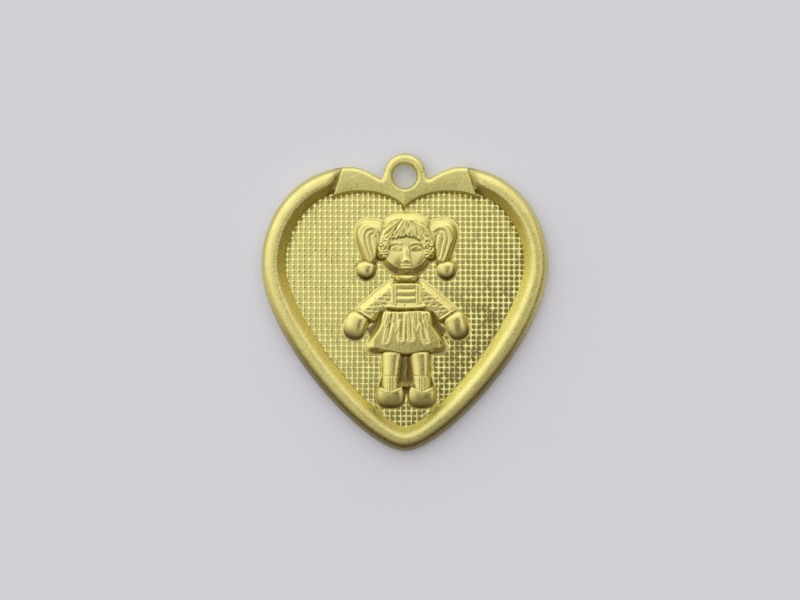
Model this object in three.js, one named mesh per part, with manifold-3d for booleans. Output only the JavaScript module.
// A heart-shaped charm struck in sheet brass, lying on its back.
// +Z is the struck face and +Y points at the hanging eye. Lengths are in millimetres.
// The origin is the middle of the outline, on the surface that the charm lies on.
import * as THREE from 'three';
import { mergeVertices } from 'three/addons/utils/BufferGeometryUtils.js';
import Module from 'manifold-3d';

const wasm = await Module();
wasm.setup();

// Sheet and seams
const sheetThickness = 0.5;
const seamGap = 0.05;

// Heart outline
const heartWidth = 25.0;
const lobeCentreX = 4.8;
const lobeTopY = 11.8;
const shoulderY = 3.3;
const tipY = -12.95;
const sideReach = 6.3;
const sideReachLoss = 0.97;
const tipReach = 3.5;
const tipReachLoss = 0.6;

// Bead round the heart
const beadWidth = 2.12;
const beadHeight = 1.5;
const beadCrest = 0.95;
const lipHeight = 0.3;
const beadFootHeight = 0.6;
const beadFootRun = 0.55;

// Notches where the bead ends against the collar
const notchTopX = 5.5;
const notchTopY = 11.65;
const notchFootX = 6.3;
const notchFootY = 9.15;

// Collar across the top
const collarHeight = 1.16;
const collarRound = 0.3;
const collarLobeX = 3.8;
const collarLobeY = 9.55;
const collarCuspY = 8.17;
const collarDipX = 2.16;
const collarDipY = 10.8;
const collarHornX = 1.55;
const collarHornY = 11.35;
const collarWebRadius = 3.0;

// Hanging eye
const eyeOuterRadius = 1.82;
const eyeHoleRadius = 1.04;
const eyeCentreY = 11.13;
const eyeHoleDrop = 0.16;
const eyeThickness = 0.75;
const eyeRound = 0.28;

// Step round the figure
const haloWidth = 0.32;
const haloHeight = 0.15;
const haloClearance = 0.1;

// Figure
const figureX = 0.13;
const headWidth = 4.3;
const headHeight = 3.85;
const headCentreY = 4.2;
const headRise = 0.62;
const hairHalfWidth = 2.8;
const hairTopY = 7.32;
const hairEndY = 3.3;
const hairRise = 0.6;
const bunchReach = 4.25;
const bunchTopY = 7.1;
const bunchEndY = 3.45;
const bunchRise = 0.45;
const puffX = 3.45;
const puffY = 2.95;
const puffWidth = 1.7;
const puffHeight = 1.45;
const puffRise = 0.48;
const neckWidth = 1.8;
const neckDrop = 0.75;
const neckRise = 0.45;
const shoulderWidth = 2.8;
const jumperTopY = 1.85;
const hemY = -0.78;
const hemWidth = 4.05;
const jumperRise = 0.5;
const elbowX = 3.35;
const elbowY = 0.05;
const cuffX = 3.65;
const cuffY = -1.5;
const cuffHalfWidth = 0.68;
const sleeveRise = 0.45;
const handX = 4.4;
const handY = -2.28;
const handWidth = 1.95;
const handHeight = 2.05;
const handRise = 0.46;
const skirtHalfWidth = 3.5;
const skirtHemY = -4.62;
const skirtRise = 0.5;
const legX = 1.32;
const legWidth = 1.66;
const legEndY = -7.3;
const legRise = 0.42;
const shoeX = 1.6;
const shoeY = -8.07;
const shoeWidth = 2.4;
const shoeHeight = 1.85;
const shoeRise = 0.4;

// Fineness of the curves
const lobeSteps = 14;
const sideSteps = 22;
const profileSteps = 4;
const ringSteps = 28;
const domeSteps = 4;
const eyeSteps = 40;

// Cutting solids reach this far above and below the surface that the charm lies on.
const tall = 2 * (beadHeight + collarHeight);

const brightBrass = new THREE.MeshStandardMaterial({ color: 0xcabf68, metalness: 1, roughness: 0.3 });
const satinBrass = new THREE.MeshStandardMaterial({ color: 0xbdb25e, metalness: 1, roughness: 0.45 });

// A solid from a closed three.js geometry.
function solidFrom(geometry) {
  const bare = geometry.clone();
  bare.deleteAttribute('normal');
  bare.deleteAttribute('uv');
  const merged = mergeVertices(bare, 1e-5);
  const mesh = new wasm.Mesh({
    numProp: 3,
    vertProperties: merged.attributes.position.array,
    triVerts: new Uint32Array(merged.index.array),
  });
  return new wasm.Manifold(mesh);
}

// A named mesh from a solid.
function piece(name, solid, material) {
  const made = solid.getMesh();
  const geometry = new THREE.BufferGeometry();
  geometry.setAttribute('position', new THREE.BufferAttribute(new Float32Array(made.vertProperties), 3));
  geometry.setIndex(new THREE.BufferAttribute(new Uint32Array(made.triVerts), 1));
  geometry.computeVertexNormals();
  const mesh = new THREE.Mesh(geometry, material);
  mesh.name = name;
  return mesh;
}

// A straight-sided solid over an outline of [x, y] points, from z = low to z = high.
function prism(outline, low, high) {
  const shape = new THREE.Shape(outline.map(([x, y]) => new THREE.Vector2(x, y)));
  const geometry = new THREE.ExtrudeGeometry(shape, { depth: high - low, bevelEnabled: false });
  geometry.translate(0, 0, low);
  return solidFrom(geometry);
}

// A closed skin over rows of points; each row is a loop, and flat caps close the first and last rows.
function loft(rows, firstCap, lastCap) {
  const count = rows[0].length;
  const positions = rows.flat().flatMap((point) => [point.x, point.y, point.z]);
  const faces = [];
  for (let row = 0; row < rows.length - 1; row += 1) {
    for (let k = 0; k < count; k += 1) {
      const here = row * count + k;
      const next = row * count + ((k + 1) % count);
      faces.push(here, next, next + count, here, next + count, here + count);
    }
  }
  for (const [a, b, c] of THREE.ShapeUtils.triangulateShape(firstCap, [])) {
    faces.push(c, b, a);
  }
  const last = (rows.length - 1) * count;
  for (const [a, b, c] of THREE.ShapeUtils.triangulateShape(lastCap, [])) {
    faces.push(last + a, last + b, last + c);
  }
  const geometry = new THREE.BufferGeometry();
  geometry.setAttribute('position', new THREE.Float32BufferAttribute(positions, 3));
  geometry.setIndex(faces);
  return solidFrom(geometry);
}

// A closed outline, anticlockwise, through a few corner points.
function rounded(corners) {
  const curve = new THREE.CatmullRomCurve3(
    corners.map(([x, y]) => new THREE.Vector3(x, y, 0)), true, 'centripetal');
  return curve.getSpacedPoints(ringSteps).slice(0, -1).map((point) => [point.x, point.y]);
}

// An ellipse as an outline.
function oval(x, y, width, height, steps = ringSteps) {
  return Array.from({ length: steps }, (_, k) => {
    const angle = (k / steps) * 2 * Math.PI;
    return [x + (width / 2) * Math.cos(angle), y + (height / 2) * Math.sin(angle)];
  });
}

// The outline moved outwards by a margin.
function grown(outline, margin) {
  return outline.map(([x, y], k) => {
    const [beforeX, beforeY] = outline[(k + outline.length - 1) % outline.length];
    const [afterX, afterY] = outline[(k + 1) % outline.length];
    const length = Math.hypot(afterX - beforeX, afterY - beforeY);
    return [x + (margin * (afterY - beforeY)) / length, y - (margin * (afterX - beforeX)) / length];
  });
}

function mirrored(outline) {
  return outline.map(([x, y]) => [-x, y]).reverse();
}

function shifted(outline, dx) {
  return outline.map(([x, y]) => [x + dx, y]);
}

// A plump form over an outline, standing on z = floor; it draws in towards its middle as it rises.
function dome(outline, floor, rise) {
  const middleX = outline.reduce((sum, [x]) => sum + x, 0) / outline.length;
  const middleY = outline.reduce((sum, [, y]) => sum + y, 0) / outline.length;
  const rows = [];
  for (let step = 0; step <= domeSteps; step += 1) {
    const angle = (step / (domeSteps + 0.6)) * (Math.PI / 2);
    const share = Math.sqrt(Math.cos(angle));
    const z = floor + (rise * Math.sin(angle)) / Math.sin((domeSteps / (domeSteps + 0.6)) * (Math.PI / 2));
    rows.push(outline.map(([x, y]) => new THREE.Vector3(
      middleX + (x - middleX) * share, middleY + (y - middleY) * share, z)));
  }
  const flat = (row) => row.map((point) => new THREE.Vector2(point.x, point.y));
  return loft(rows, flat(rows[0]), flat(rows.at(-1)));
}

// Half of the heart, x >= 0, from the lobe's top down to the tip, drawn in by an inset.
function heartHalf(inset) {
  const halfWidth = heartWidth / 2 - inset;
  const points = [];
  for (let step = 0; step < lobeSteps; step += 1) {
    const angle = (1 - step / lobeSteps) * (Math.PI / 2);
    points.push([
      lobeCentreX + (halfWidth - lobeCentreX) * Math.cos(angle),
      shoulderY + (lobeTopY - inset - shoulderY) * Math.sin(angle),
    ]);
  }
  const side = new THREE.CubicBezierCurve(
    new THREE.Vector2(halfWidth, shoulderY),
    new THREE.Vector2(halfWidth, shoulderY - sideReach + sideReachLoss * inset),
    new THREE.Vector2(tipReach - tipReachLoss * inset, tipY + inset),
    new THREE.Vector2(0, tipY + inset));
  for (const point of side.getPoints(sideSteps)) {
    points.push([point.x, point.y]);
  }
  return points;
}

// The heart from its right lobe round the tip to its left lobe.
function heartRail(inset) {
  const half = heartHalf(inset);
  return [...half, ...half.slice(0, -1).map(([x, y]) => [-x, y]).reverse()];
}

// The wedge between the two notches, widened by a margin on each side.
function notchZone(margin) {
  const lean = (notchTopX - notchFootX) / (notchTopY - notchFootY);
  const highY = lobeTopY + beadWidth;
  const lowY = notchFootY - beadWidth;
  const xAt = (y) => notchFootX + lean * (y - notchFootY) + margin;
  return [[-xAt(lowY), lowY], [xAt(lowY), lowY], [xAt(highY), highY], [-xAt(highY), highY]];
}

// Section of the bead's hollow arch: x is the distance in from the heart's edge and y the height.
function beadSection() {
  const at = (x, y) => new THREE.Vector2(x, y);
  const outside = new THREE.CubicBezierCurve(
    at(0, lipHeight), at(0, lipHeight + (beadHeight - lipHeight) * 0.6), at(beadCrest * 0.45, beadHeight),
    at(beadCrest, beadHeight));
  const inside = new THREE.CubicBezierCurve(
    at(beadCrest, beadHeight), at(beadCrest + beadFootRun, beadHeight),
    at(beadWidth - beadFootRun * 0.8, beadFootHeight + beadFootRun), at(beadWidth, beadFootHeight));
  const under = new THREE.CubicBezierCurve(
    at(beadWidth - sheetThickness, 0), at(beadWidth - sheetThickness - beadFootRun * 0.6, beadFootHeight),
    at(beadCrest * 1.4, beadHeight - sheetThickness), at(beadCrest, beadHeight - sheetThickness));
  const back = new THREE.CubicBezierCurve(
    at(beadCrest, beadHeight - sheetThickness), at(beadCrest * 0.7, beadHeight - sheetThickness),
    at(sheetThickness, lipHeight + sheetThickness), at(sheetThickness, 0));
  return [
    at(0, 0), ...outside.getPoints(profileSteps), ...inside.getPoints(profileSteps + 1).slice(1),
    at(beadWidth, 0), ...under.getPoints(profileSteps - 1), ...back.getPoints(profileSteps - 1).slice(1),
  ].reverse();
}

function rimBead() {
  const section = beadSection();
  const rails = section.map((point) => heartRail(point.x));
  const rows = rails[0].map((_, step) => section.map((point, k) => (
    new THREE.Vector3(rails[k][step][0], rails[k][step][1], point.y))));
  rows.reverse();
  const swept = loft(rows, section, section);
  return swept.subtract(prism(notchZone(0), -tall, tall));
}

// The collar's outline, running past the notches, moved up or down by a lift.
function collarOutline(lift) {
  const half = [];
  const lower = [
    new THREE.CubicBezierCurve(
      new THREE.Vector2(0, collarCuspY), new THREE.Vector2(collarLobeX * 0.22, collarLobeY - 0.45),
      new THREE.Vector2(collarLobeX * 0.6, collarLobeY), new THREE.Vector2(collarLobeX, collarLobeY)),
    new THREE.CubicBezierCurve(
      new THREE.Vector2(collarLobeX, collarLobeY), new THREE.Vector2(collarLobeX + 1.0, collarLobeY),
      new THREE.Vector2(notchFootX - 0.6, notchFootY + 0.3), new THREE.Vector2(notchFootX + 0.9, notchFootY - 0.5)),
  ];
  for (const point of lower[0].getPoints(8)) {
    half.push([point.x, point.y]);
  }
  for (const point of lower[1].getPoints(6).slice(1)) {
    half.push([point.x, point.y]);
  }
  const lobe = heartHalf(0).slice(0, 5).reverse();
  half.push(...lobe);
  const dip = new THREE.CubicBezierCurve(
    new THREE.Vector2(lobeCentreX, lobeTopY), new THREE.Vector2(lobeCentreX - 0.9, lobeTopY),
    new THREE.Vector2(collarDipX + 0.8, collarDipY + 0.5), new THREE.Vector2(collarDipX, collarDipY));
  for (const point of dip.getPoints(8).slice(1)) {
    half.push([point.x, point.y]);
  }
  half.push([collarHornX, collarHornY]);
  const whole = [...half, ...half.slice(1).map(([x, y]) => [-x, y]).reverse()];
  return whole.map(([x, y]) => [x, y + lift]);
}

function topCollar() {
  const shape = new THREE.Shape(collarOutline(0).map(([x, y]) => new THREE.Vector2(x, y)));
  const block = new THREE.ExtrudeGeometry(shape, {
    depth: collarHeight - collarRound,
    bevelThickness: collarRound,
    bevelSize: collarRound,
    bevelOffset: -collarRound,
    bevelSegments: 3,
  });
  const hollow = prism(collarOutline(-sheetThickness), -tall, collarHeight - sheetThickness)
    .intersect(prism(collarOutline(sheetThickness), -tall, tall))
    .intersect(prism(notchZone(-seamGap - sheetThickness), -tall, tall))
    .subtract(prism(oval(0, eyeCentreY, 2 * collarWebRadius, 2 * collarWebRadius, eyeSteps), -tall, tall));
  const seat = 2 * (eyeOuterRadius + seamGap);
  return solidFrom(block)
    .intersect(prism(notchZone(-seamGap), 0, tall))
    .subtract(prism(oval(0, eyeCentreY, seat, seat, eyeSteps), -tall, tall))
    .subtract(hollow);
}

function hangingEye() {
  const circle = oval(0, eyeCentreY, 2 * eyeOuterRadius, 2 * eyeOuterRadius, eyeSteps);
  const hole = oval(0, eyeCentreY - eyeHoleDrop, 2 * eyeHoleRadius, 2 * eyeHoleRadius, eyeSteps);
  const ring = new THREE.Shape(circle.map(([x, y]) => new THREE.Vector2(x, y)));
  ring.holes.push(new THREE.Path(hole.map(([x, y]) => new THREE.Vector2(x, y))));
  const geometry = new THREE.ExtrudeGeometry(ring, {
    depth: eyeThickness - 2 * eyeRound,
    bevelThickness: eyeRound,
    bevelSize: eyeRound,
    bevelOffset: -eyeRound,
    bevelSegments: 3,
  });
  geometry.translate(0, 0, collarHeight - eyeThickness + eyeRound);
  return solidFrom(geometry);
}

// The straight-sided space that the collar takes up, with a margin below it and at its ends.
function collarSpace(margin) {
  return prism(collarOutline(-margin), -tall, tall).intersect(prism(notchZone(margin), -tall, tall));
}

// The ground inside the bead and below the collar, drawn in by a margin.
function groundSpace(margin, low, high) {
  return prism(heartRail(beadWidth + margin), low, high).subtract(collarSpace(margin));
}

// Outlines of the figure's forms about its own centre line; the paired ones are the right-hand ones.
const outlines = {
  head: oval(0, headCentreY, headWidth, headHeight),
  hair: rounded([
    [hairHalfWidth - 0.4, hairEndY], [hairHalfWidth, headCentreY + 0.4], [hairHalfWidth - 0.45, headCentreY + 1.8],
    [hairHalfWidth * 0.5, hairTopY - 0.3], [0, hairTopY], [-hairHalfWidth * 0.5, hairTopY - 0.3],
    [0.45 - hairHalfWidth, headCentreY + 1.8], [-hairHalfWidth, headCentreY + 0.4],
    [0.4 - hairHalfWidth, hairEndY], [0, hairEndY - 0.4],
  ]),
  bunch: rounded([
    [hairHalfWidth - 0.8, bunchTopY - 0.5], [hairHalfWidth - 0.3, bunchEndY + 0.8],
    [hairHalfWidth + 0.05, bunchEndY], [hairHalfWidth + 0.65, bunchEndY], [bunchReach - 0.25, bunchTopY - 2.3],
    [bunchReach + 0.05, bunchTopY - 1.1], [bunchReach - 0.25, bunchTopY - 0.25], [bunchReach - 1.0, bunchTopY],
  ]),
  puff: oval(puffX, puffY, puffWidth, puffHeight),
  neck: rounded([
    [neckWidth / 2, headCentreY - headHeight / 2 + 0.3], [-neckWidth / 2, headCentreY - headHeight / 2 + 0.3],
    [-neckWidth / 2, headCentreY - headHeight / 2 - neckDrop * 0.6],
    [0, headCentreY - headHeight / 2 - neckDrop],
    [neckWidth / 2, headCentreY - headHeight / 2 - neckDrop * 0.6],
  ]),
  jumper: rounded([
    [shoulderWidth / 2, jumperTopY - 0.25], [0, jumperTopY], [-shoulderWidth / 2, jumperTopY - 0.25],
    [-shoulderWidth / 2 - 0.1, hemY + 0.9], [-hemWidth / 2, hemY + 0.35], [-hemWidth / 2, hemY],
    [0, hemY - 0.12], [hemWidth / 2, hemY], [hemWidth / 2, hemY + 0.35], [shoulderWidth / 2 + 0.1, hemY + 0.9],
  ]),
  sleeve: rounded([
    [shoulderWidth / 2 - 0.3, jumperTopY - 0.15], [shoulderWidth / 2 - 0.2, elbowY - 0.3],
    [elbowX - 1.0, elbowY - 1.2], [cuffX - cuffHalfWidth, cuffY - cuffHalfWidth * 0.75],
    [cuffX + cuffHalfWidth * 0.8, cuffY + cuffHalfWidth * 0.75], [elbowX, elbowY],
    [shoulderWidth / 2 + 0.85, jumperTopY - 0.75],
  ]),
  hand: oval(handX, handY, handWidth, handHeight),
  skirt: rounded([
    [hemWidth / 2 - 0.1, hemY + 0.1], [1 - hemWidth / 2, hemY + 0.1], [0.1 - hemWidth / 2, hemY + 0.1],
    [-skirtHalfWidth * 0.7, hemY - 1.25], [0.3 - skirtHalfWidth, skirtHemY + 1.3],
    [-skirtHalfWidth, skirtHemY + 0.6], [0.5 - skirtHalfWidth, skirtHemY + 0.2], [0, skirtHemY],
    [skirtHalfWidth - 0.5, skirtHemY + 0.2], [skirtHalfWidth, skirtHemY + 0.6],
    [skirtHalfWidth - 0.3, skirtHemY + 1.3], [skirtHalfWidth * 0.7, hemY - 1.25],
  ]),
  leg: rounded([
    [legX + legWidth / 2, skirtHemY + 0.2], [legX - legWidth / 2, skirtHemY + 0.2],
    [legX - legWidth / 2, (skirtHemY + legEndY) / 2], [legX - legWidth / 2 + 0.1, legEndY],
    [legX + legWidth / 2 + 0.3, legEndY], [legX + legWidth / 2 + 0.05, (skirtHemY + legEndY) / 2],
  ]),
  shoe: oval(shoeX, shoeY, shoeWidth, shoeHeight),
};

// Each form of the figure: its rise, and the forms that stand in front of it and cut it.
const forms = [
  { name: 'head', outline: 'head', rise: headRise, behind: [] },
  { name: 'hair', outline: 'hair', rise: hairRise, behind: ['head'] },
  { name: 'bunch', outline: 'bunch', rise: bunchRise, behind: ['hair', 'head'], pair: true },
  { name: 'puff', outline: 'puff', rise: puffRise, behind: ['bunch', 'hair', 'head'], pair: true },
  { name: 'neck_band', outline: 'neck', rise: neckRise, behind: ['head', 'hair'] },
  { name: 'jumper', outline: 'jumper', rise: jumperRise, behind: ['neck', 'head', 'hair'] },
  { name: 'sleeve', outline: 'sleeve', rise: sleeveRise, behind: ['jumper', 'neck', 'puff'], pair: true },
  { name: 'skirt', outline: 'skirt', rise: skirtRise, behind: ['jumper', 'sleeve'] },
  { name: 'hand', outline: 'hand', rise: handRise, behind: ['sleeve', 'skirt'], pair: true },
  { name: 'leg', outline: 'leg', rise: legRise, behind: ['skirt'], pair: true },
  { name: 'shoe', outline: 'shoe', rise: shoeRise, behind: ['leg'], pair: true },
];

// The outline on its own side of the figure, in the charm's frame.
function placed(key, side) {
  const outline = side === 'left' ? mirrored(outlines[key]) : outlines[key];
  return shifted(outline, figureX);
}

// The smooth step also fills the pockets between arm and skirt and between the legs.
const pockets = {
  arm: [
    [shoulderWidth / 2, hemY], [skirtHalfWidth - 0.3, skirtHemY + 1.3], [handX - handWidth / 2 + 0.1, handY],
    [cuffX - cuffHalfWidth, cuffY - 0.4], [shoulderWidth / 2, elbowY - 0.2],
  ],
  legs: [[-legX, legEndY + 0.1], [legX, legEndY + 0.1], [legX, skirtHemY + 0.2], [-legX, skirtHemY + 0.2]],
};

const isPaired = Object.fromEntries(forms.map((form) => [form.outline, Boolean(form.pair)]));
const sidesOf = (key) => (isPaired[key] ? ['left', 'right'] : ['right']);

function figureBase() {
  const steps = forms.flatMap((form) => sidesOf(form.outline).map((side) => (
    prism(grown(placed(form.outline, side), haloWidth), sheetThickness, sheetThickness + haloHeight))));
  const fills = [mirrored(pockets.arm), pockets.arm, pockets.legs].map((outline) => (
    prism(shifted(outline, figureX), sheetThickness, sheetThickness + haloHeight)));
  const whole = [...steps, ...fills].reduce((sum, step) => sum.add(step));
  return whole.intersect(groundSpace(seamGap + haloClearance, -tall, tall));
}

function figureForm(form, side) {
  const floor = sheetThickness + haloHeight;
  let solid = dome(placed(form.outline, side), floor, form.rise);
  for (const key of form.behind) {
    for (const near of sidesOf(key)) {
      solid = solid.subtract(prism(grown(placed(key, near), seamGap), -tall, tall));
    }
  }
  return solid.intersect(groundSpace(seamGap + haloClearance, -tall, tall));
}

const charm = new THREE.Group();
charm.add(piece('ground_panel', groundSpace(seamGap, 0, sheetThickness), brightBrass));
charm.add(piece('rim_bead', rimBead(), satinBrass));
charm.add(piece('top_collar', topCollar(), satinBrass));
charm.add(piece('hanging_eye', hangingEye(), satinBrass));
charm.add(piece('figure_base', figureBase(), brightBrass));
for (const form of forms) {
  for (const side of sidesOf(form.outline)) {
    const name = form.pair ? `${side}_${form.name}` : form.name;
    charm.add(piece(name, figureForm(form, side), brightBrass));
  }
}

export default charm;
